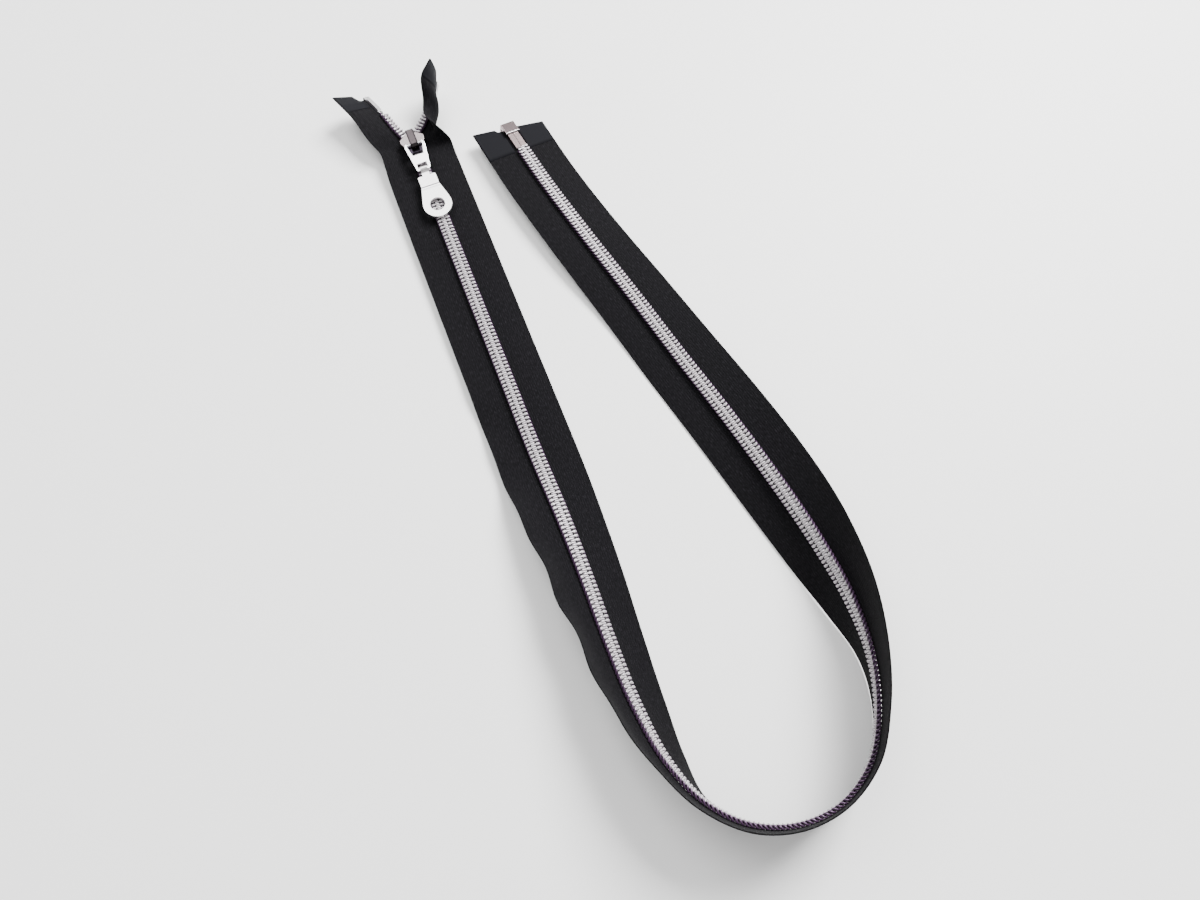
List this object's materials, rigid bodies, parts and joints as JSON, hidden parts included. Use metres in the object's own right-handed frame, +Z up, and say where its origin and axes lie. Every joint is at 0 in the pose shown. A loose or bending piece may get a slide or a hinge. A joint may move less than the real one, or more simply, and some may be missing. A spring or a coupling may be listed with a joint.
{
  "type": "separating coil zipper",
  "caption": "Closed separating zipper laid in a long U: coil chain on woven tapes, locking slider with link and ring-ended pull tab, top stops, and pins in a retainer box.",
  "frame": {"origin": "middle of the footprint on the table the zipper lies on", "axes": "+Z up from the table; +Y along the straight left leg, the way the slider travels to close the chain; +X from the left leg towards the leg with the retainer box"},
  "size_m": [0.1201, 0.3453, 0.0326],
  "materials": {
    "woven_tape": "matt black woven polyester with fine lengthwise ribs",
    "coil": "silver-coated nylon filament",
    "core_cord": "twisted polyester cord",
    "sewing_thread": "two rows of dark chain stitches",
    "end_film": "clear film pressed on to the tape, bluish sheen",
    "end_metal": "bright pressed metal",
    "box": "bright die-cast metal",
    "slider_metal": "polished nickel plating",
    "spring_steel": "bright strip",
    "puller_metal": "polished nickel plating"
  },
  "bodies": {
    "zipper": {"left_tape": "woven_tape", "left_coil": "coil", "left_core_cord": "core_cord", "left_sewing_threads": "sewing_thread", "left_bottom_film": "end_film", "left_top_film": "end_film", "left_top_stop": "end_metal", "right_tape": "woven_tape", "right_coil": "coil", "right_core_cord": "core_cord", "right_sewing_threads": "sewing_thread", "right_bottom_film": "end_film", "right_top_film": "end_film", "right_top_stop": "end_metal", "insertion_pin": "end_metal", "retainer_pin": "end_metal", "retainer_box": "box"},
    "slider": {"slider_body": "slider_metal", "slider_crown": "slider_metal"},
    "lock": {"lock_leaf": "spring_steel"},
    "link": {"puller_link": "puller_metal"},
    "tab": {"pull_tab": "puller_metal"}
  },
  "joints": [
    {"name": "slider_slide", "type": "slide", "parent": "zipper", "child": "slider", "axis": [0, 1, 0], "range_m": [-0.11, 0], "deforming": ["left_tape", "left_coil", "left_core_cord", "left_sewing_threads", "right_tape", "right_coil", "right_core_cord", "right_sewing_threads"]},
    {"name": "link_swing", "type": "hinge", "parent": "slider", "child": "link", "pos_m": [-0.036, 0.139, 0.00655], "axis": [-1, 0, 0], "range_deg": [0, 125]},
    {"name": "tab_swing", "type": "hinge", "parent": "link", "child": "tab", "pos_m": [-0.036, 0.12592, 0.00586], "axis": [-1, 0, 0], "range_deg": [0, 85]},
    {"name": "lock_lift", "type": "hinge", "parent": "slider", "child": "lock", "pos_m": [-0.036, 0.1451, 0.00728], "axis": [-1, 0, 0], "range_deg": [0, 3.1]}
  ],
  "couplings": [
    {"joint": "lock_lift", "follows": "link_swing", "ratio": 0.0244}
  ]
}
